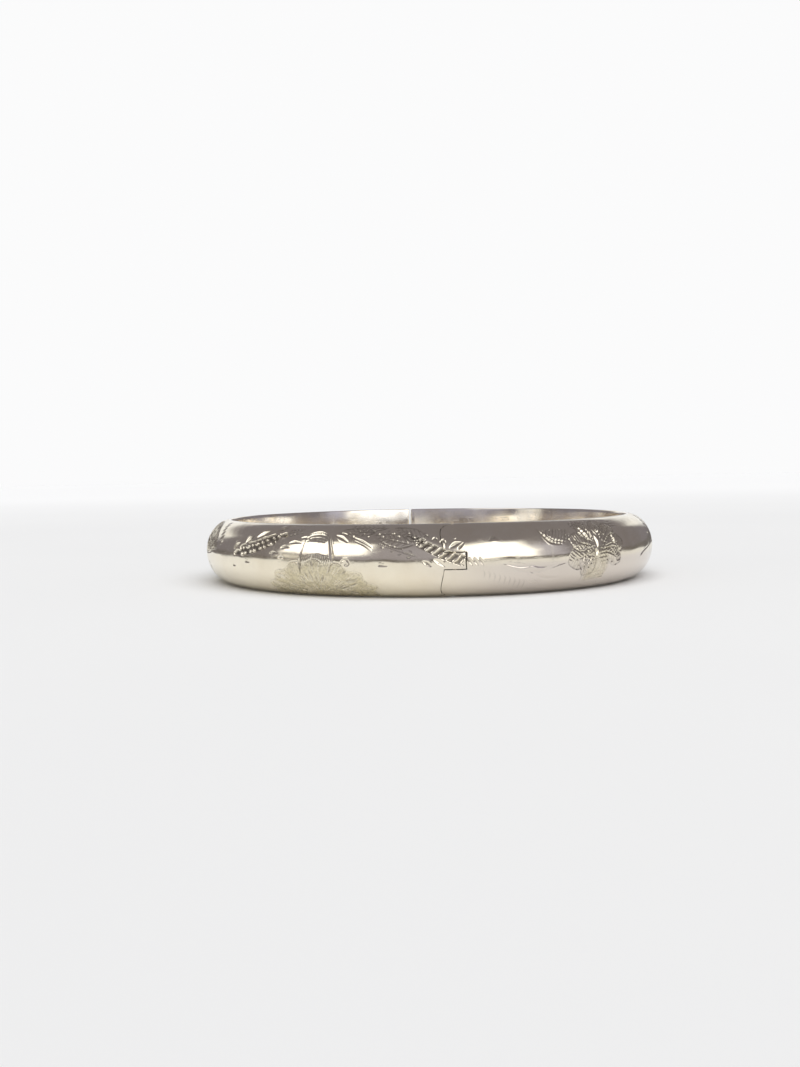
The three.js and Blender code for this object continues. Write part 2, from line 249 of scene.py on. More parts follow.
class Relief:
    """The engraving on one half: its height, how black it has gone and how matt, over (along, up)."""

    DEEPEST, HIGHEST = 0.2, 0.06
    SUNK_BLACK = 0.9  # how dark the strip behind a row of beads is
    FIELD_UP, FIELD_ALONG = 12, 105  # all of one half's outside

    def __init__(self, along, up, seed):
        self.along, self.up = along, up
        self.height, self.dark, self.matt = (np.zeros((up.size, along.size)) for _ in range(3))
        self.chance = np.random.default_rng(seed)
        self.pressure = self.uneven(0.55)

    def uneven(self, grain):
        """How hard the hand presses, from place to place: a smooth random field from 0.4 to 1.2."""
        spots = self.chance.uniform(0.4, 1.2, (int(self.FIELD_UP / grain), int(self.FIELD_ALONG / grain)))
        rows = clamp((self.up + self.FIELD_UP / 2) / self.FIELD_UP) * (spots.shape[0] - 1)
        columns = clamp(np.abs(self.along) / self.FIELD_ALONG) * (spots.shape[1] - 1)
        level = np.apply_along_axis(resample, 1, spots, columns)
        return np.apply_along_axis(resample, 0, level, rows)

    def patch(self, points, margin):
        """The part of the grid round some points, with the places of its vertices."""
        points = np.asarray(points)
        low, high = points.min(0) - margin, points.max(0) + margin
        columns = slice(*np.searchsorted(self.along, (low[0], high[0])))
        rows = slice(*np.searchsorted(self.up, (low[1], high[1])))
        along, up = np.meshgrid(self.along[columns], self.up[rows])
        return (rows, columns), along, up

    def beside(self, points, reach):
        """The part of the grid within reach of a smooth line, and what nearest says of it."""
        path = curve_through(points)
        area, along, up = self.patch(path, reach)
        return area, *nearest(path, along, up)

    def blacken(self, area, amount):
        self.dark[area] = np.maximum(self.dark[area], amount)

    def gouge(self, points, width, depth, belly=0.4, dark=0.75, polish=0.0):
        """A tapering V-shaped cut that throws up a slight burr. belly is where it is widest."""
        area, distance, _, run, total = self.beside(points, width)
        share = clamp(run / total)
        taper = np.where(share < belly, share / belly, (1 - share) / (1 - belly))
        half = np.maximum(width / 2 * np.sqrt(clamp(taper)), 0.02)
        across = distance / half
        blade = clamp(1 - across)
        deep = half / (width / 2)
        burr = 0.2 * np.exp(-(((across - 1.25) / 0.3) ** 2))
        self.height[area] += depth * deep * (burr - blade)
        self.blacken(area, dark * deep * clamp(2.2 * blade - 0.6))
        self.matt[area] *= 1 - polish * clamp(2 * blade)

    def line(self, points, width, depth, dark=0.8):
        """A plain cut of even width with pointed ends."""
        self.gouge(points, width, depth, 0.12, dark)

    def cable(self, points, width, pitch, depth):
        """A border of two rows of beads, staggered, on a sunk and blackened strip."""
        area, distance, side, run, total = self.beside(points, width)
        fade = np.clip(run / (2 * pitch), 0.35, 1) * np.clip((total - run) / (2 * pitch), 0.35, 1)
        strip = clamp((width * fade - distance) / 0.12) * (run > 0) * (run < total)
        bead = np.zeros(distance.shape)
        for row in (-1, 1):
            count, step = np.divmod(run / pitch + 0.25 * row + 0.16 * np.sin(2.9 * run / pitch), 1)
            size = 0.85 + 0.28 * np.sin(2.3 * count + row)
            across = (distance * side - row * width * 0.48) / (width * 0.42)
            bead = np.maximum(bead, size - ((step - 0.5 + 0.12 * across) / 0.36) ** 2 - across**2)
        bead = np.sqrt(clamp(bead))
        self.height[area] += strip * (1.15 * bead - 1) * depth
        self.blacken(area, strip * clamp(1 - 1.6 * bead) * self.SUNK_BLACK)

    def rope(self, points, width, pitch, slant, depth):
        """A border of long slanting beads in one row, on a sunk and blackened strip."""
        area, distance, side, run, total = self.beside(points, width)
        strip = clamp((width - distance) / 0.12) * (run > 0) * (run < total)
        across = distance * side / width
        step = (run / pitch + slant * across) % 1 - 0.5
        bead = np.sqrt(clamp(1 - (step / 0.3) ** 2 - (across / 0.95) ** 4))
        self.height[area] += strip * (1.2 * bead - 1) * depth
        self.blacken(area, strip * clamp(1 - 1.8 * bead) * self.SUNK_BLACK)

    def hatch(self, outline, slope, pitch, depth, width, dark):
        """Parallel cuts that fill an outline. slope is their angle in degrees."""
        area, along, up = self.patch(outline, 0)
        turn = math.radians(slope)
        across = (up * math.cos(turn) - along * math.sin(turn)) / pitch
        step = np.abs(across % 1 - 0.5) * pitch
        blade = clamp(1 - step / (width / 2)) * inside(outline, along, up) * self.pressure[area]
        self.height[area] -= depth * blade
        self.blacken(area, dark * clamp(1.6 * blade - 0.4))

    def ground(self, outline, amount, grain, depth):
        """A matt field, punched all over with a fine round tool."""
        area, along, up = self.patch(outline, 0)
        if along.size == 0:
            return
        edge = nearest(closed(outline), along, up)[0]
        filled = inside(outline, along, up) * clamp(0.3 + edge / 0.8)
        filled *= amount * clamp(0.5 + 0.55 * self.pressure[area])
        self.matt[area] = np.maximum(self.matt[area], filled)
        low, high = np.min(outline, 0), np.max(outline, 0)
        count = int((high - low).prod() / grain**2)
        for place in self.chance.uniform(low, high, (count, 2)):
            self.punch(place, 0.45 * grain, depth * self.chance.uniform(0.5, 1.2), outline)

    def punch(self, place, radius, depth, outline=None):
        """A round dent, kept inside an outline if there is one."""
        area, along, up = self.patch([place], radius)
        dent = clamp(1 - ((along - place[0]) ** 2 + (up - place[1]) ** 2) / radius**2)
        if outline is not None:
            dent *= inside(outline, along, up)
        self.height[area] -= depth * dent
        self.blacken(area, 0.3 * dent)

    def swell(self, outline, lift):
        """Raises a petal or leaf a little, from nothing at its outline."""
        area, along, up = self.patch(outline, 0)
        distance = nearest(closed(outline), along, up)[0]
        self.height[area] += lift * clamp(distance / 0.8) * inside(outline, along, up)


# ---- motifs ----
def turned(points, place, angle=0.0):
    """Moves a motif's own points to their place on the band."""
    c, s = direction(angle)
    return np.asarray(points, float) @ np.array([[c, s], [-s, c]]) + place


def petal_outline(length, width):
    """A round-tipped petal that points along +along from its root at the origin."""
    share = np.linspace(0, 1, 7)
    half = width / 2 * np.sin(math.pi * share**1.4) ** 0.8
    upper, lower = np.stack([share * length, half], -1), np.stack([share * length, -half], -1)
    return np.vstack([upper, lower[-2:0:-1]])


def feathered(relief, outline, root, heading, angle, pitch, depth, width, dark):
    """Fills an outline with cuts that slope back to either side of its middle line."""
    ahead = direction(heading)
    leftward = np.array([-ahead[1], ahead[0]])
    across = (outline - root) @ leftward
    for side in (-1, 1):
        half = outline - np.outer(np.where(across * side < 0, across, 0), leftward)
        relief.hatch(half, heading + side * angle, pitch, depth, width, dark)


def petal(relief, root, angle, length, width):
    """A feathered petal inside a clear outline."""
    outline = turned(petal_outline(length, width), root, angle)
    relief.swell(outline, 0.04)
    relief.ground(outline, 0.25, 0.4, 0.04)
    feathered(relief, outline, root, angle, 50, 0.36, 0.06, 0.24, 0.35)
    relief.line(closed(outline), 0.28, 0.09, 0.6)
    middle = turned([(0.1 * length, 0), (0.5 * length, 0.05 * width), (0.85 * length, 0)], root, angle)
    relief.gouge(middle, 0.3, 0.1, 0.3, 0.6)


def leaf(relief, root, tip, width, depth=0.08):
    """A pointed leaf with a midrib and feathered sides."""
    root, tip = np.asarray(root, float), np.asarray(tip, float)
    way = tip - root
    side = np.array([-way[1], way[0]]) / np.linalg.norm(way) * width / 2
    upper = curve_through([root, root + 0.35 * way + side, root + 0.75 * way + 0.6 * side, tip])
    lower = curve_through([tip, root + 0.7 * way - 0.7 * side, root + 0.3 * way - side, root])
    outline = np.vstack([upper, lower[1:-1]])
    heading = math.degrees(math.atan2(way[1], way[0]))
    feathered(relief, outline, root, heading, 42, 0.42, depth, 0.26, 0.6)
    for edge in (upper, lower):
        relief.line(edge[::3], 0.26, 1.3 * depth)
    relief.gouge([root, root + 0.5 * way + 0.1 * side, root + 0.85 * way], 0.26, 1.2 * depth, 0.2)


def sprig(relief, points, pairs, reach, flip=False, width=0.3, depth=0.08):
    """A curved stem with comma-shaped cuts to either side."""
    stem = curve_through(points, 10)
    relief.line(points, 0.18, 0.06)
    for i in range(pairs):
        at = int((i + 0.5) / pairs * (len(stem) - 2))
        place, way = stem[at], stem[at + 1] - stem[at]
        heading = math.degrees(math.atan2(way[1], way[0]))
        grow = reach * (1 - 0.5 * i / pairs)
        for side in (-1, 1):
            bend = -side if flip else side
            comma = [(0.1, 0.12 * bend), (0.5 * grow, 0.55 * grow * bend), (grow, 0.62 * grow * bend)]
            relief.gouge(turned(comma, place, heading), width, depth, 0.65)


def scroll(relief, centre, radius, start, turns, flip, width=0.3):
    """A volute that winds in to its eye."""
    sweep = np.linspace(0, turns * 2 * math.pi, int(10 * turns) + 3)
    reach = radius * (1 - 0.75 * sweep / sweep[-1])
    angle = math.radians(start) + (-sweep if flip else sweep)
    relief.gouge(np.stack([reach * np.cos(angle), reach * np.sin(angle)], -1) + centre, width, 0.1, 0.55)
    relief.punch(centre, 0.22, 0.07)


FAN_ACROSS, FAN_RISE, FAN_LOBES = 8.2, 4.8, 9


def fan_outline(centre):
    """The scalloped edge of a half-open flower whose root lies at the foot of the band."""
    start, end = -18, 198  # degrees
    turn = np.radians(np.linspace(start, end, FAN_LOBES * 8))
    share = (turn - math.radians(start)) / math.radians(end - start)
    bulge = 1 - 0.09 * np.abs(np.cos(share * FAN_LOBES * math.pi))
    return np.stack([FAN_ACROSS * np.cos(turn) * bulge, FAN_RISE * np.sin(turn) * bulge], -1) + centre


def fan_flower(relief, centre):
    """A half-open flower: a matt field of fine cuts, with rings of petals up to its edge."""
    relief.ground(fan_outline(centre), 1.0, 0.3, 0.02)
    for count, start, end in ((FAN_LOBES, 0.66, 0.95), (FAN_LOBES + 2, 0.4, 0.66), (7, 0.12, 0.38)):
        for i in range(count):
            turn = math.radians(-14 + 208 * (i + 0.5) / count)
            reach = np.array([FAN_ACROSS * math.cos(turn), FAN_RISE * math.sin(turn)])
            wide = np.array([-FAN_ACROSS * math.sin(turn), FAN_RISE * math.cos(turn)]) * 1.3 / count
            for lean in (-0.6, -0.2, 0.2, 0.6):
                near, far = reach * start + wide * lean * 0.7, reach * (end - 0.03) + wide * lean
                firm = relief.chance.uniform(0.25, 1.25)
                relief.gouge([centre + near, centre + far], 0.28, 0.06 * firm, 0.6, 0.12, 0.6 * firm)
            edge = ((start, -0.7), (end - 0.05, -0.8), (end + 0.03, 0), (end - 0.05, 0.8), (start, 0.7))
            edge = np.array([reach * share + wide * lean for share, lean in edge])
            relief.line(edge + centre, 0.24, 0.04 * relief.chance.uniform(0.5, 1.6), 0.25)


def curls(relief, centre, across, rise, count):
    """Short curved cuts that follow a fan flower's petals, strewn over its field."""
    for _ in range(count):
        turn = math.radians(relief.chance.uniform(2, 178))
        share = relief.chance.uniform(0.25, 0.85)
        bend, length, firm = relief.chance.uniform((-0.5, 0.8, 0.5), (0.5, 1.7, 1.2))
        place = np.array([across * math.cos(turn), rise * math.sin(turn)]) * share + centre
        heading = math.degrees(math.atan2(rise * math.sin(turn), across * math.cos(turn)))
        comma = turned([(0, 0), (0.5 * length, bend), (length, 0.6 * bend)], place, heading)
        relief.gouge(comma, 0.4, 0.09 * firm, 0.5, 0.55 * firm, 0.4)


def framed_petal(relief, root):
    """A tall plain petal between two bounding lines, hatched under its cap."""
    relief.line(turned([(-2.5, -1.6), (-2.35, -0.2), (-2.1, 1.2), (-1.9, 2.6)], root), 0.36, 0.12)
    relief.gouge(turned([(2.1, -0.3), (2.0, 0.9), (1.6, 2.4), (1.2, 3.4)], root), 0.6, 0.15, 0.3, 0.3)
    for lift, width in ((0.0, 0.5), (0.35, 0.3)):
        arch = [(a, u + lift) for a, u in ((-2.0, 2.5), (-1.2, 3.1), (-0.2, 3.3), (0.7, 3.1), (1.4, 2.6))]
        relief.gouge(turned(arch, root), width, 0.14, 0.5, 0.3)
    cap = turned([(-1.8, 2.3), (-0.9, 2.9), (0.4, 3.0), (1.2, 2.7), (1.0, 2.2), (-0.4, 2.4)], root)
    relief.hatch(cap, 84, 0.26, 0.06, 0.16, 0.6)
    foot = turned([(-2.3, -0.4), (2.0, -0.4), (1.9, 0.5), (0.2, 0.9), (-2.1, 0.6)], root)
    relief.hatch(foot, 80, 0.28, 0.07, 0.16, 0.5)


def rose(relief, centre):
    """An open flower of broad feathered petals round a few bright cuts."""
    petals = (  # angle, length, width
        (228, 3.4, 2.6), (196, 4.6, 2.7), (164, 4.2, 2.3), (126, 3.8, 2.3),
        (72, 3.4, 2.4), (36, 4.4, 2.4), (6, 4.6, 2.6), (-20, 4.2, 2.2),
    )
    for angle, length, width in petals:
        petal(relief, centre + direction(angle) * 0.7, angle, length, width)
    block = turned([(-2.1, 0.2), (1.9, 0.3), (2.0, -2.0), (1.5, -3.9), (-2.2, -4.0)], centre)
    relief.ground(block, 0.55, 0.3, 0.03)
    relief.hatch(block, 88, 0.4, 0.045, 0.2, 0.3)
    relief.hatch(block, 4, 0.46, 0.04, 0.2, 0.3)
    relief.line(turned([(-2.2, 0.0), (-2.3, -1.6), (-2.6, -4.2)], centre), 0.4, 0.13)
    bright_cuts = (
        ((-2.6, 3.0), (-1.5, 1.0)), ((-1.3, 2.6), (-0.9, 1.1)), ((-0.4, 2.2), (-0.2, -0.2)),
        ((0.6, 2.6), (0.5, 1.1)), ((-0.4, 0.0), (-0.6, -1.0)), ((3.0, 1.6), (3.3, 0.1)),
        ((-3.4, -1.2), (-2.6, -2.6)),
    )
    for ends in bright_cuts:
        relief.gouge(turned(ends, centre), 0.66, 0.2, 0.45, 0.1, 1.0)


def catch_half_front(relief):
    """The motifs left of the hinge."""
    border = [(-31, 0.5), (-28.5, 1.1), (-26.5, 1.5), (-24.5, 2.1), (-22.6, 2.8), (-21.4, 3.4)]
    relief.cable(border, 0.78, 0.95, 0.15)
    for comma in (
        [(-31.2, 1.0), (-30.6, 1.5), (-29.8, 1.9)], [(-28.6, 1.9), (-27.8, 2.5), (-26.9, 2.8)],
        [(-26.6, 2.6), (-25.5, 3.2), (-24.2, 3.8)], [(-23.4, 3.7), (-22.6, 4.1), (-21.7, 4.4)],
        [(-21.9, 3.5), (-21.6, 3.2), (-21.1, 2.9)],
    ):
        relief.gouge(comma, 0.8, 0.2, 0.45, 0.35)
    fan_root = np.array([-16.6, -4.4])
    fan_flower(relief, fan_root)
    curls(relief, fan_root, 8.0, 4.6, 34)
    framed_petal(relief, np.array([-16.2, 0.0]))
    relief.gouge([(-14.2, 3.2), (-13.3, 2.9), (-12.3, 2.3)], 0.5, 0.13, 0.5, 0.4)
    relief.gouge([(-14.0, 3.6), (-13.0, 3.4), (-12.0, 2.9)], 0.3, 0.1, 0.5)
    relief.gouge([(-12.0, 3.0), (-10.6, 2.4), (-9.2, 1.6)], 0.34, 0.11, 0.5, 0.4)
    relief.gouge([(-11.6, 2.5), (-10.4, 2.0), (-9.3, 1.3)], 0.24, 0.08, 0.5)
    scroll(relief, np.array([-12.4, -0.2]), 0.7, 200, 0.8, True, 0.3)
    relief.gouge([(-22.5, -1.6), (-21.8, -1.7), (-21.1, -2.1)], 0.5, 0.13, 0.4, 0.2, 1.0)
    for start, up, end in ((-28.3, -0.3, -27.1), (-31.6, -0.9, -30.5), (-8.6, -0.3, -7.4)):
        relief.line([(start, up), (end, up - 0.1)], 0.3, 0.1)
    sprig(relief, [(-21.4, 3.3), (-20.2, 3.6), (-18.9, 3.8)], 4, 0.8)
    for start, length, up in (
        (-18.9, 1.5, 2.7), (-20.4, 1.9, 2.1), (-21.6, 1.4, 1.5), (-23.4, 1.5, 0.8), (-22.0, 1.2, 0.3),
    ):
        bow = [(start, up), (start + 0.5 * length, up + 0.12), (start + length, up)]
        relief.gouge(bow, 0.42, 0.07, 0.4, 0.4)
    for i in range(9):
        relief.punch((-22.0 + 0.5 * i, 4.75), 0.2, 0.09)
    for root, tip, width in (
        ((-3.2, 2.6), (-7.0, 4.4), 1.7), ((-4.6, 2.0), (-9.4, 3.2), 1.7),
        ((-7.6, 4.4), (-12.6, 4.7), 1.3), ((-9.0, 3.6), (-13.4, 4.0), 1.2),
    ):
        leaf(relief, root, tip, width, 0.045)
    sprig(relief, [(-4.2, 0.6), (-6.4, 1.3), (-8.8, 2.2)], 4, 0.7, False, 0.26, 0.03)
    for i in range(16):
        relief.punch((-3.4 - 0.6 * i, 3.4 + 0.5 * math.sin(2.1 * i)), 0.22, 0.08)
    relief.cable([(-5.4, 3.2), (-4.2, 2.6), (-3.2, 2.0), (-2.4, 1.7)], 0.5, 0.7, 0.07)


def hinge_rope(relief):
    """The rope that steps down across the hinge's middle knuckle, and the loose cuts round it."""
    relief.rope([(-4.0, 2.3), (-2.8, 1.65), (-1.4, 0.95), (0.2, 0.3), (1.0, 0.1)], 0.58, 0.84, -0.35, 0.15)
    relief.gouge([(-0.6, 1.55), (0.0, 1.9), (0.8, 2.15)], 0.6, 0.17, 0.5, 0.4)
    relief.gouge([(0.3, 1.4), (0.7, 1.8), (1.0, 2.1)], 0.4, 0.12, 0.5, 0.8)
    for along, up in ((-3.2, 2.9), (-2.2, 2.5), (-1.3, 2.2)):
        hook = [(along - 0.4, up - 0.1), (along, up + 0.25), (along + 0.35, up - 0.15)]
        relief.gouge(hook, 0.36, 0.1, 0.5)
    relief.gouge([(-2.4, 0.3), (-1.8, 0.0), (-1.1, -0.55)], 0.55, 0.16, 0.4, 0.15)
    relief.gouge([(-3.6, 0.1), (-3.1, -0.15), (-2.6, -0.5)], 0.5, 0.15, 0.4, 0.95)
    for along in (1.5, 2.1, 2.7):
        relief.gouge([(along, 0.4), (along + 0.15, 0.0), (along + 0.45, -0.5)], 0.42, 0.1, 0.4, 0.5)


def tongue_half_front(relief):
    """The motifs right of the hinge."""
    for i in range(9):
        start, fall = 3.0 + 0.62 * i, -0.9 - 0.17 * i
        bow = [(start, fall), (start + 0.3, fall - 0.5), (start + 0.2, fall - 1.2 - 0.05 * i)]
        relief.gouge(bow, 0.3, 0.04, 0.5, 0.25)
    for streak in (
        [(5.2, -0.3), (7.5, -0.75), (9.6, -0.7)], [(6.3, -0.9), (9.1, -1.45), (12.8, -0.85)],
        [(8.7, -1.35), (10.8, -2.3), (13.2, -2.4)], [(7.6, -0.35), (10.6, -0.9), (14.2, -0.5)],
    ):
        relief.gouge(streak, 0.5, 0.075, 0.5, 0.06)
    relief.gouge([(3.9, 2.3), (4.5, 2.65), (5.1, 2.35)], 0.8, 0.035, 0.5, 0.3)
    crescent = [(10.6, 3.3), (11.0, 2.5), (11.9, 1.8), (13.2, 1.6), (14.6, 2.1), (14.6, 3.4), (12.4, 3.5)]
    relief.gouge([(10.1, 3.9), (10.7, 2.9), (11.6, 1.9), (13.2, 1.5)], 0.55, 0.16, 0.6, 0.5)
    relief.gouge([(11.0, 3.4), (11.4, 2.6), (12.2, 2.0), (13.6, 1.8)], 0.3, 0.1, 0.6, 0.5)
    relief.hatch(np.array(crescent), 62, 0.42, 0.09, 0.24, 0.7)
    relief.hatch(np.array(crescent), -20, 0.5, 0.05, 0.18, 0.5)
    rose(relief, np.array([19.0, 0.8]))
    scroll(relief, np.array([23.1, -0.25]), 0.75, 180, 0.9, False, 0.36)
    relief.gouge([(20.9, 4.4), (21.4, 4.1), (22.0, 3.6)], 0.46, 0.12, 0.4, 0.2)
    for up in (3.4, 3.8, 4.2):
        relief.gouge([(22.6, up), (23.6, up + 0.08), (24.8, up)], 0.3, 0.08, 0.4, 0.5)
    relief.line([(29.6, -0.9), (30.6, -0.4), (32.0, -0.05), (34.0, 0.25), (36.0, 0.9)], 0.26, 0.08, 0.5)
    sprig(relief, [(15.2, 3.6), (17.0, 4.3), (19.4, 4.5)], 5, 0.8, False, 0.26, 0.07)


def spray(relief, place, side):
    """A leafy scroll that fills the space between two flowers. side is the way it runs."""
    flip = side < 0

    def at(away, up):
        return place + side * away, up

    relief.cable([at(0, -1.6), at(3, -0.2), at(6, 1.4), at(9, 2.4)], 0.62, 0.85, 0.1)
    sprig(relief, [at(1, 1.2), at(3.5, 2.4), at(6.5, 3.6)], 6, 1.1, flip)
    sprig(relief, [at(3.5, -1.8), at(6.5, -1.2), at(9.5, -2.4)], 6, 1.1, flip)
    leaf(relief, at(0.5, 3.6), at(3.6, 4.1), 1.3)
    leaf(relief, at(0.8, -3.8), at(4.0, -3.2), 1.5)
    scroll(relief, np.array(at(9.6, 0.4)), 1.2, 90, 1.3, flip)
    for i in range(5):
        comma = [at(4.6 + 0.8 * i, -3.4), at(4.9 + 0.8 * i, -4.0), at(5.5 + 0.8 * i, -4.4)]
        relief.gouge(comma, 0.36, 0.1)


def round_the_back(relief, side):
    """The rest of the band, out of the front view: low sprigs, then flowers and sprays by turns."""
    sprig(relief, [(side * 41.5, -1.4), (side * 45.5, -2.6), (side * 50.5, -2.4)], 6, 1.2, side < 0)
    sprig(relief, [(side * 43.0, -3.2), (side * 46.5, -4.0), (side * 50.5, -3.8)], 5, 0.9, side < 0)
    rose(relief, np.array([side * 57.0, 0.2]))
    spray(relief, side * 62, side)
    fan_flower(relief, np.array([side * 80.0, -4.4]))
    leaf(relief, (side * 77.0, 1.4), (side * 81.0, 3.9), 1.6)
    leaf(relief, (side * 83.0, 1.2), (side * 86.0, 3.8), 1.6)
    spray(relief, side * 88, side)


def frosted_scroll(relief, side):
    """A broad stippled leaf at each end of the oval's short axis."""
    upper = ((37.2, 0.9), (38.5, 2.4), (41.5, 4.1), (46.0, 4.9), (51.0, 4.2))
    lower = ((53.0, 2.2), (49.0, 0.3), (42.0, 0.1))
    outline = np.array([(side * a, u) for a, u in upper + lower])
    relief.ground(outline, 0.45, 0.32, 0.07)
    heading = 14 if side > 0 else 166
    feathered(relief, outline, np.array((side * 38, 0.8)), heading, 52, 0.6, 0.1, 0.34, 0.7)
    relief.line(closed(outline), 0.4, 0.13)
    relief.gouge([(side * 38, 0.9), (side * 44, 2.2), (side * 51, 2.4)], 0.5, 0.15)
    for i in range(6):
        comma = [(side * (36.2 + 0.5 * i), 1.4 + 0.6 * i), (side * (35.2 + 0.5 * i), 2.0 + 0.6 * i)]
        relief.gouge(comma, 0.5, 0.14, 0.4, 0.4)


# ---- the outer shells ----
FRONT_STEP, BACK_STEP = 0.08, 0.15  # between the mesh's columns
FRONT_END = 36.0
SHELL_ROWS, INNER_ROWS = 134, 9
OVERRUN = 2.2  # the swept shell reaches this far past the hinge before its joints are cut
HOLLOW_DEPTH = 0.9 * SHEET
EDGE_WEAR, WEAR_REACH = 0.05, 0.2
PLAIN_RIM, RIM_FADE = 0.25, 0.5  # the engraving dies out towards the rims
SEEDS = {-1: 11, 1: 23}  # for the engraver's hand on each half


def seam_rounding(along, up, side):
    """How far the edges beside the joints are rubbed down."""
    points = dome_point(along, up, 0.0)
    x, z = points[..., 0] * side, points[..., 2]
    own_heights = (z > knuckle_low[2]) & (z < knuckle_high[2])
    knuckle = own_heights if side < 0 else ~own_heights
    reach = math.sqrt(BARREL**2 - (shell_low[1] - PIN_Y) ** 2)
    hinge_edge = np.where(knuckle, x + reach, x - reach - KNUCKLE_ROOM)
    at_front = points[..., 1] < 0
    step = np.minimum(np.abs(z - knuckle_low[2]), np.abs(z - knuckle_high[2]))
    step = np.where(np.abs(x) < reach, step, FAR)
    edge = np.where(at_front, np.minimum(np.abs(hinge_edge), step), np.abs(x - SEAM_GAP))
    return EDGE_WEAR * clamp(1 - edge / WEAR_REACH) ** 2


def hand_finish(along, up):
    """The slow waves that hand polishing leaves in the dome, about a hundredth of a millimetre deep."""
    a, u = np.meshgrid(along, up)
    waves = 0.5 * np.sin(1.9 * u + 0.8 * np.sin(0.31 * a) + 0.9) * np.sin(0.47 * a + 1.1)
    waves += 0.35 * np.sin(0.83 * a + 1.6 * u) + 0.3 * np.sin(1.37 * a - 2.3 * u + 2.0)
    waves += 0.12 * np.sin(2.9 * a + 3.4 * u + 0.5) * np.sin(1.1 * a)
    return 0.011 * waves


def engrave(side, along, up):
    """All the engraving on one half."""
    relief = Relief(along, up, SEEDS[side])
    if side < 0:
        catch_half_front(relief)
    else:
        tongue_half_front(relief)
    hinge_rope(relief)
    frosted_scroll(relief, side)
    round_the_back(relief, side)
    fade = clamp((RIM - PLAIN_RIM - np.abs(up)) / RIM_FADE)[:, None]
    cuts = np.clip(relief.height, -Relief.DEEPEST, Relief.HIGHEST)
    relief.height = (cuts + hand_finish(along, up)) * fade
    relief.dark *= fade
    relief.matt *= fade
    return relief


def outer_shell(name, side):
    """One half's engraved dome over its smooth hollow, swept as one closed skin and cut to its joints."""
    front = np.arange(-OVERRUN, FRONT_END, FRONT_STEP)
    back = np.arange(FRONT_END, HALF_LENGTH + 0.5, BACK_STEP)
    along = side * np.concatenate([front, back])
    if side < 0:
        along = along[::-1]
    up = np.linspace(-RIM, RIM, SHELL_ROWS)
    relief = engrave(side, along, up)
    places = np.meshgrid(along, up)
    outer = dome_point(*places, relief.height - seam_rounding(*places, side))
    hollow = dome_point(*np.meshgrid(along, np.linspace(-RIM, RIM, INNER_ROWS)), -HOLLOW_DEPTH)
    hollow[0, :, 2], hollow[-1, :, 2] = SHEET, HEIGHT - SHEET
    numbers = np.arange(SHELL_ROWS * along.size).reshape(SHELL_ROWS, -1)
    inner = numbers.size + np.arange(INNER_ROWS * along.size).reshape(INNER_ROWS, -1)
    rims = [np.stack([inner[0], numbers[0]]), np.stack([numbers[-1], inner[-1]])]
    ends = [[*numbers[:, 0], *inner[::-1, 0]], [*inner[:, -1], *numbers[::-1, -1]]]
    faces = [*grid_quads(numbers), *grid_quads(inner, True)]
    for rim in rims:
        faces += grid_quads(rim)
    points = np.vstack([outer.reshape(-1, 3), hollow.reshape(-1, 3)])
    faces += [[int(n) for n in end] for end in ends]
    shell = make_object(name, points, faces)
    spare = np.zeros(inner.size)
    for layer, values in (("dark", relief.dark), ("matt", relief.matt)):
        attribute = shell.data.attributes.new(layer, "FLOAT", "POINT")
        attribute.data.foreach_set("value", np.concatenate([values.ravel(), spare]).astype(np.float32))
    cut_joints(shell, side)
    smooth(shell, sharp_degrees=62)
    return shell


def cut_joints(shell, side):
    """Cuts the hinge's stepped seam, the clasp's edge and, on the catch half, the notch for the thumb tab."""

    def mirror(outline):
        return outline if side < 0 else [(-x, y) for x, y in outline][::-1]

    foot = math.degrees(math.acos(-HINGE_GAP / BARREL))
    own = [(-HINGE_GAP, -2 * FAR), (FAR, -2 * FAR), (FAR, 0), (-HINGE_GAP, 0), *arc(BARREL, foot, -foot)]
    cut(shell, mirror(own), -1, HEIGHT + 1)
    if side < 0:
        seat = arc(CLOSE_SEAT, 0, 355, 72)
        cut(shell, seat, -1, knuckle_low[2])
        cut(shell, seat, knuckle_high[2], HEIGHT + 1)
    else:
        cut(shell, arc(SEAT, 0, 355, 72), knuckle_low[2] - KNUCKLE_ROOM, knuckle_high[2] + KNUCKLE_ROOM)
        cut(shell, arc(PIN_BORE, 0, 350, 36), -1, HEIGHT + 1)
    cut(shell, mirror(box_outline(-SEAM_GAP, FAR, 0.0, FAR)), -1, HEIGHT + 1)
    if side < 0:
        notch = box_outline(-NOTCH_LENGTH, 1, 0, FAR)
        cut(shell, notch, MIDDLE - NOTCH_HALF_HEIGHT, MIDDLE + NOTCH_HALF_HEIGHT)


# ---- the inner walls ----
WALL_ROUNDING = 0.11
WALL_CROWN = 0.1  # the wrist side swells this much towards its middle height
WALL_EASE = 0.1  # and falls back this much at the clasp
WALL_STEPS, WRIST_SIDE_STEPS = 420, 24


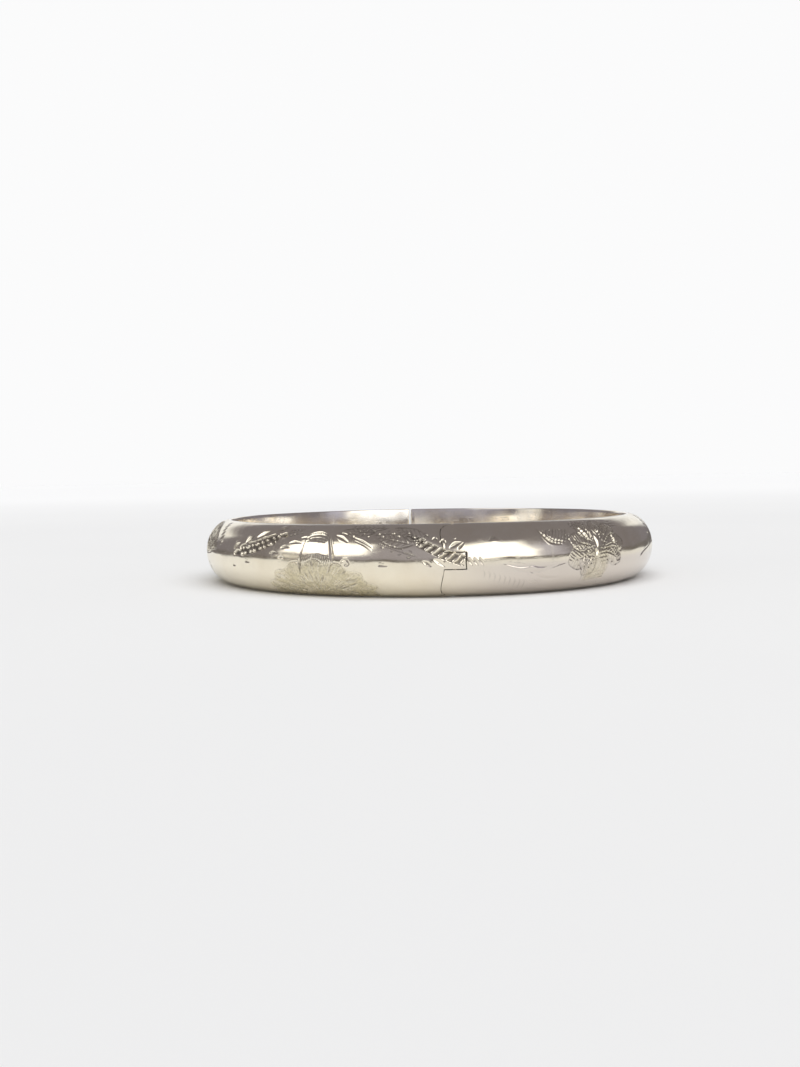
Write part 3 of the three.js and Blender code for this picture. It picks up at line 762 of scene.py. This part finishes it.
def inner_wall(name, side):
    """A strip with soft corners, whose wrist side is slightly crowned and curves away at the clasp."""
    ease_length = 1.5 if side < 0 else 0.8
    round_end = WALL_ROUNDING * (1 - np.cos(np.linspace(0, math.pi / 2, 6)))
    start, end = SEAM_GAP / 2, HALF_LENGTH - SEAM_GAP
    scale = OPEN_A / (OPEN_A + THICKNESS)
    middle = np.linspace(start + WALL_ROUNDING / scale, end - WALL_ROUNDING / scale, WALL_STEPS)
    along = np.concatenate([start + round_end[:-1], middle, end - round_end[::-1][1:]])
    from_end = np.minimum(along - start, end - along)
    short = np.clip(WALL_ROUNDING - from_end, 0, None)
    inset = WALL_ROUNDING - np.sqrt(np.clip(WALL_ROUNDING**2 - short**2, 0, None))
    eased = WALL_EASE * clamp(1 - (end - along) / ease_length) ** 2
    corner = np.radians(np.linspace(0, 90, 5))
    outline = []
    near, far, top = WALL_ROUNDING, SHEET - WALL_ROUNDING, HEIGHT - WALL_ROUNDING
    for offset, height, first in ((near, near, 180), (far, near, 270), (far, top, 0), (near, top, 90)):
        turn = corner + math.radians(first)
        rounded = [offset + WALL_ROUNDING * np.cos(turn), height + WALL_ROUNDING * np.sin(turn)]
        outline.append(np.stack(rounded, -1))
    outline = np.vstack(outline)
    share = np.linspace(0, 1, WRIST_SIDE_STEPS)[1:-1, None]
    outline = np.vstack([outline, outline[-1:] + (outline[:1] - outline[-1:]) * share])
    outline[:, 0] += WALL_CROWN * (1 - outline[:, 0] / SHEET) * ((outline[:, 1] - MIDDLE) / MIDDLE) ** 2
    inwards = np.sign(np.array([SHEET / 2, MIDDLE]) - outline)
    section = outline[None] + inwards[None] * inset[:, None, None]
    section[..., 0] += eased[:, None] * clamp(1 - section[..., 0] / SHEET)
    x, y = plan_point(side * np.repeat(along[:, None], len(outline), 1), section[..., 0])
    points = np.stack([x, y, section[..., 1]], -1)
    numbers = np.arange(x.size).reshape(x.shape)
    ring = np.hstack([numbers, numbers[:, :1]])
    faces = grid_quads(ring, side < 0)
    first, last = numbers[0].tolist(), numbers[-1].tolist()
    faces += [first[::-1] if side > 0 else first, last if side > 0 else last[::-1]]
    wall = make_object(name, points.reshape(-1, 3), faces)
    smooth(wall, sharp_degrees=50)
    return wall


# ---- the hinge pin ----
def hinge_pin():
    """A round wire, riveted and then filed flush with the dome at both ends."""
    sides, rings, clearance = 40, 5, 0.004
    radius = PIN_BORE - clearance
    turn = np.linspace(0, 2 * math.pi, sides, endpoint=False)
    points = []
    for end in (-1, 1):
        reach = radius * (np.arange(1, rings + 1) / rings if end < 0 else np.arange(rings, 0, -1) / rings)
        for ring in [0.0, *reach] if end < 0 else [*reach, 0.0]:
            x, y = ring * np.cos(turn), PIN_Y + ring * np.sin(turn)
            offset = -y - OPEN_B
            z = MIDDLE + end * MIDDLE * np.sqrt(1 - (offset / THICKNESS) ** 2)
            points.append(np.stack([x, y, z], -1))
    numbers = np.arange(len(points) * sides).reshape(-1, sides)
    pin = make_object("hinge_pin_flush", np.vstack(points), grid_quads(np.hstack([numbers, numbers[:, :1]])))
    weld = pin.modifiers.new("weld", "WELD")
    weld.merge_threshold = 0.001 * MM
    apply_modifiers(pin)
    smooth(pin, sharp_degrees=40)
    return pin


# ---- the thumb tab ----
def thumb_tab():
    """A stub with soft corners and a ribbed top for the thumbnail."""
    ribs, rib_height, margin, shoulder, bevel_width = 4, 0.09, 0.12, 0.2, 0.07
    start, end = tab_low[0], tab_high[0]
    foot, top = tab_low[1], tab_high[1]
    top_x = np.linspace(end - margin, start + margin, 8 * ribs + 1)
    wave = top - rib_height * (0.5 + 0.5 * np.cos(np.linspace(0, 2 * math.pi * ribs, top_x.size)))
    outline = [(start, foot), (end, foot + shoulder), (end, top - shoulder), *zip(top_x, wave)]
    outline.append((start, top - shoulder))
    tab = prism("thumb_tab_ribbed", outline, tab_low[2], tab_high[2])
    bevel = tab.modifiers.new("soft edges", "BEVEL")
    bevel.width = bevel_width * MM
    bevel.segments = 3
    bevel.limit_method = "ANGLE"
    bevel.angle_limit = math.radians(40)
    apply_modifiers(tab)
    smooth(tab, sharp_degrees=40)
    return tab


# ---- materials ----
def node(tree, kind, inputs=(), **settings):
    """Adds a node. An input is a number, a colour or another node's output."""
    made = tree.nodes.new(kind)
    for name, value in settings.items():
        setattr(made, name, value)
    for key, value in dict(inputs).items():
        if isinstance(value, bpy.types.NodeSocket):
            tree.links.new(value, made.inputs[key])
        else:
            made.inputs[key].default_value = value
    return made


def maths(tree, operation, first, second=0.0):
    return node(tree, "ShaderNodeMath", {0: first, 1: second}, operation=operation).outputs[0]


def multiply(tree, first, second):
    return maths(tree, "MULTIPLY", first, second)


def add(tree, first, second):
    return maths(tree, "ADD", first, second)


def remap(tree, value, low, high, to_low=0.0, to_high=1.0):
    """A smooth step from one pair of values to another."""
    inputs = {"Value": value, "From Min": low, "From Max": high, "To Min": to_low, "To Max": to_high}
    return node(tree, "ShaderNodeMapRange", inputs, interpolation_type="SMOOTHSTEP").outputs[0]


def blend_colours(tree, factor, *colours):
    """Two colours mixed, each a triple or another node's output."""
    inputs = {0: factor}
    for key, colour in zip((6, 7), colours):
        inputs[key] = colour if isinstance(colour, bpy.types.NodeSocket) else (*colour, 1)
    return node(tree, "ShaderNodeMix", inputs, data_type="RGBA").outputs[2]


def noise(tree, vector, scale, detail, roughness=0.5):
    inputs = {"Vector": vector, "Scale": scale, "Detail": detail, "Roughness": roughness}
    return node(tree, "ShaderNodeTexNoise", inputs).outputs["Fac"]


# The first colour is the duller, browner tint given by position to the lower right of the front.
LOWER_RIGHT_SILVER = (0.70, 0.635, 0.58)
PUNCHED_SILVER = (0.74, 0.665, 0.47)
BLACKENED = (0.13, 0.11, 0.085)
SCRATCH_DEPTH, PUNCHED_DEPTH = 0.25, 1.6


def empty_tree(owner):
    """The node tree of a material or world, cleared."""
    owner.use_nodes = True
    owner.node_tree.nodes.clear()
    return owner.node_tree


def silver(name, colour, tarnish, low_rough, high_rough, engraved=False, filed=0.0):
    """Silver with patches of yellow tarnish, smears, fine scratches and, where it is engraved, black cuts."""
    made = bpy.data.materials.new(name)
    tree = empty_tree(made)
    place = node(tree, "ShaderNodeTexCoord").outputs["Object"]
    patches = remap(tree, noise(tree, place, 190, 5, 0.6), 0.38, 0.72)
    base = blend_colours(tree, multiply(tree, patches, 0.75), colour, tarnish)
    smear = remap(tree, noise(tree, place, 420, 4, 0.55), 0.3, 0.75, low_rough, high_rough)
    # Wear scratches run every way, and are a few hundredths of a millimetre wide.
    lines = 0.0
    for turn, stretch in ((0.4, (60, 900, 3000)), (1.3, (2600, 90, 1500)), (2.4, (900, 2800, 70))):
        inputs = {"Vector": place, "Rotation": (turn, 0.7 * turn, 1.9 * turn), "Scale": stretch}
        mapping = node(tree, "ShaderNodeMapping", inputs)
        hair = remap(tree, noise(tree, mapping.outputs[0], 1.0, 1.0), 0.66, 0.74)
        lines = add(tree, hair, lines)
    rough = add(tree, smear, multiply(tree, lines, 0.06))
    relief = multiply(tree, lines, -SCRATCH_DEPTH)
    if filed:
        mapping = node(tree, "ShaderNodeMapping", {"Vector": place, "Scale": (400, 400, 9000)})
        marks = multiply(tree, noise(tree, mapping.outputs[0], 1.0, 3), filed)
        relief = add(tree, relief, marks)
    if engraved:
        # Below its middle height, the front right of the hinge is tinted duller and browner, by its position
        # alone.
        x, _, z = node(tree, "ShaderNodeSeparateXYZ", {0: place}).outputs
        right = remap(tree, x, -8 * MM, 9 * MM)
        low = remap(tree, z, 0.54 * HEIGHT * MM, 0.4 * HEIGHT * MM)
        lower_right = multiply(tree, multiply(tree, right, low), 0.85)
        base = blend_colours(tree, lower_right, base, LOWER_RIGHT_SILVER)
        black = node(tree, "ShaderNodeAttribute", attribute_name="dark").outputs["Fac"]
        frost = node(tree, "ShaderNodeAttribute", attribute_name="matt").outputs["Fac"]
        base = blend_colours(tree, frost, base, PUNCHED_SILVER)
        base = blend_colours(tree, multiply(tree, black, 0.85), base, BLACKENED)
        rough = add(tree, rough, multiply(tree, frost, 0.2))
        rough = add(tree, rough, multiply(tree, black, 0.22))
        grain = multiply(tree, frost, noise(tree, place, 9000, 2))
        relief = add(tree, relief, multiply(tree, grain, PUNCHED_DEPTH))
    bump = node(tree, "ShaderNodeBump", {"Strength": 0.35, "Distance": 0.00002, "Height": relief})
    inputs = {"Base Color": base, "Roughness": rough, "Metallic": 1.0, "Normal": bump.outputs[0]}
    shader = node(tree, "ShaderNodeBsdfPrincipled", inputs)
    node(tree, "ShaderNodeOutputMaterial", {"Surface": shader.outputs[0]})
    return made


def dress(made, material):
    made.data.materials.clear()
    made.data.materials.append(material)


WARM_SILVER = (0.93, 0.86, 0.705)
YELLOWED = (0.86, 0.77, 0.60)
PALE_SILVER = (0.95, 0.91, 0.84)
DULL_SILVER, DULL_TARNISH = (0.66, 0.63, 0.57), (0.42, 0.38, 0.31)
finishes = {
    "engraved_silver": silver("engraved_silver_worn", WARM_SILVER, YELLOWED, 0.10, 0.2, engraved=True),
    "polished_silver": silver("polished_silver_worn", PALE_SILVER, YELLOWED, 0.08, 0.18),
    "sawn_silver": silver("sawn_silver_filed", DULL_SILVER, DULL_TARNISH, 0.3, 0.45, filed=1.5),
    "spring_silver": silver("spring_silver_rolled", WARM_SILVER, YELLOWED, 0.12, 0.22, filed=0.4),
}


# ---- the pieces ----
def place_piece(piece, body, node_name, slot):
    dress(piece, finishes[slot])
    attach(piece, body)
    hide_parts(node_name)


replaced = {"thumb_tab", "hinge_pin"}
for body, side in (("catch_half", -1), ("tongue_half", 1)):
    replaced |= {f"{body}_outer_shell", f"{body}_inner_wall"}
    place_piece(outer_shell(f"{body}_engraved_shell", side), body, f"{body}_outer_shell", "engraved_silver")
    place_piece(inner_wall(f"{body}_polished_wall", side), body, f"{body}_inner_wall", "polished_silver")
place_piece(thumb_tab(), "tongue_spring", "thumb_tab", "polished_silver")
pin = hinge_pin()
place_piece(pin, "tongue_half", "hinge_pin", "spring_silver")
dress(pin, finishes["engraved_silver"])  # its ends are filed and polished with the dome

for part in frame["record"]["subparts"]:
    if part["node"] not in replaced:
        # The two plates that meet at the clasp are burnished bright by use.
        rubbed = part["node"] in ("clasp_mouth_plate", "tongue_end_plate")
        kept = frame["nodes"][part["node"]]
        for slot in kept.material_slots:
            slot.material = finishes["polished_silver" if rubbed else part["material_slot"]]


# ---- floor, light and camera ----
def pale_floor():
    half, level = 6000.0, -0.03
    corners = [(x, y, level) for x, y in box_outline(-half, half, -half, half)]
    floor = make_object("pale_floor", corners, [(0, 1, 2, 3)])
    made = bpy.data.materials.new("pale_floor")
    made.use_nodes = True
    tree = made.node_tree
    shader = tree.nodes["Principled BSDF"]
    place = node(tree, "ShaderNodeTexCoord").outputs["Object"]
    patches = noise(tree, place, 9, 3)
    near = blend_colours(tree, patches, (0.83, 0.83, 0.835), (0.87, 0.87, 0.87))
    # It pales towards the backdrop, so that no edge shows where they meet.
    reach = node(tree, "ShaderNodeVectorMath", {0: place}, operation="LENGTH").outputs["Value"]
    base = blend_colours(tree, remap(tree, reach, 0.1, 0.9), near, (0.945, 0.945, 0.95))
    tree.links.new(base, shader.inputs["Base Color"])
    shader.inputs["Roughness"].default_value = 0.65
    shader.inputs["Specular IOR Level"].default_value = 0.0
    dress(floor, made)


def table_edge():
    """A dim strip where the pale table top ends, which only the silver sees."""
    radius, height, opening = 118.0, 9.0, 26  # half of the opening for the backdrop, in degrees
    turn = np.radians(np.linspace(90 + opening, 450 - opening, 97))
    ring = [(radius * math.cos(a), radius * math.sin(a), z) for z in (0, height) for a in turn]
    numbers = np.arange(2 * turn.size).reshape(2, turn.size)
    strip = make_object("table_edge", ring, grid_quads(numbers))
    made = bpy.data.materials.new("table_edge")
    tree = empty_tree(made)
    dim = node(tree, "ShaderNodeEmission", {"Color": (0.16, 0.15, 0.15, 1), "Strength": 1.0})
    node(tree, "ShaderNodeOutputMaterial", {"Surface": dim.outputs[0]})
    dress(strip, made)
    strip.visible_camera = strip.visible_diffuse = strip.visible_shadow = False


# Azimuth from the front towards the right and width, elevation and height, the width of the faded edge, and
# colour. Angles are in degrees. The last box is for the inner wall.
SOFTBOXES = (
    (-5, 110, 18, 40, 26, (0.35, 0.335, 0.38)),
    (56, 26, 17, 32, 16, (0.5, 0.49, 0.58)),
    (31, 42, 22, 42, 9, (1.7, 1.7, 1.7)),
    (-66, 50, 28, 30, 6, (1.7, 1.7, 1.7)),
    (-84, 18, 5, 8, 5, (0.85, 0.83, 0.8)),
)
ROOM, BACKDROP = (0.208, 0.194, 0.214), (0.95, 0.95, 0.95)
FILL, SEEN_BACKDROP = (0.40, 0.40, 0.40), (0.965, 0.965, 0.968)


def studio_world():
    """What the silver sees: a pale backdrop behind, a dim room, and soft boxes in front. Matt surfaces
    get an even fill instead, and the camera a plain backdrop."""
    world = bpy.data.worlds.new("studio")
    bpy.context.scene.world = world
    tree = empty_tree(world)
    way = node(tree, "ShaderNodeTexCoord").outputs["Generated"]
    x, y, z = node(tree, "ShaderNodeSeparateXYZ", {0: way}).outputs
    squares = add(tree, multiply(tree, x, x), multiply(tree, y, y))
    behind = maths(tree, "DIVIDE", y, maths(tree, "MAXIMUM", maths(tree, "SQRT", squares), 0.001))
    # The pale backdrop opens out upwards, and ends below the dim ceiling.
    behind = add(tree, behind, multiply(tree, z, 0.6))
    below = remap(tree, z, 0.28, 0.42, 1.0, 0.0)
    backdrop = multiply(tree, remap(tree, behind, 0.93, 0.99), below)
    azimuth = maths(tree, "ARCTAN2", x, multiply(tree, y, -1.0))
    elevation = maths(tree, "ARCSINE", z)
    ripple = maths(tree, "SUBTRACT", noise(tree, way, 5.0, 3), 0.5)
    colour = ROOM
    for towards, width, above, height, fade, light in SOFTBOXES:
        masks = []
        for angle, middle, size in ((azimuth, towards, width), (elevation, above, height)):
            away = maths(tree, "ABSOLUTE", maths(tree, "SUBTRACT", angle, math.radians(middle)))
            away = add(tree, away, multiply(tree, ripple, math.radians(fade)))
            near, far = math.radians((size - fade) / 2), math.radians((size + fade) / 2)
            masks.append(remap(tree, away, near, far, 1.0, 0.0))
        colour = blend_colours(tree, multiply(tree, *masks), colour, light)
    colour = blend_colours(tree, backdrop, colour, BACKDROP)
    rays = node(tree, "ShaderNodeLightPath").outputs
    colour = blend_colours(tree, rays["Is Diffuse Ray"], colour, FILL)
    colour = blend_colours(tree, rays["Is Camera Ray"], colour, SEEN_BACKDROP)
    background = node(tree, "ShaderNodeBackground", {"Color": colour, "Strength": 1.0})
    node(tree, "ShaderNodeOutputWorld", {"Surface": background.outputs[0]})


DIFFUSER_STRENGTH = 1.98
DIFFUSER_SPREAD, DIFFUSER_TILT = math.radians(80), (math.radians(20), math.radians(8), 0)


def overhead_light():
    """The even light of a big ceiling diffuser, kept out of the metal's reflections."""
    light = bpy.data.lights.new("ceiling_diffuser", "SUN")
    light.energy = DIFFUSER_STRENGTH
    light.angle = DIFFUSER_SPREAD
    made = add_object("ceiling_diffuser", light)
    made.rotation_euler = DIFFUSER_TILT
    made.visible_glossy = False


CAMERA_PLACE = (-14.63, -163.12, 13.5)
CAMERA_TURNS = ((-3.81, "Z"), (90 - 2.73, "X"), (-1.01, "Z"))  # degrees: heading, tilt and roll
CAMERA_LENS = 53.5


def camera():
    """The photographer's place, fitted to the bangle's outline in the photo."""
    data = bpy.data.cameras.new("camera")
    data.sensor_width = 36.0
    data.sensor_fit = "HORIZONTAL"
    data.lens = CAMERA_LENS
    data.clip_start = 0.005
    data.clip_end = 50
    made = add_object("camera", data)
    placed = Matrix.Translation(Vector(CAMERA_PLACE) * MM)
    for degrees, axis in CAMERA_TURNS:
        placed = placed @ Matrix.Rotation(math.radians(degrees), 4, axis)
    made.matrix_world = placed
    bpy.context.scene.camera = made


pale_floor()
table_edge()
studio_world()
overhead_light()
camera()
bpy.context.scene.view_settings.view_transform = "Standard"
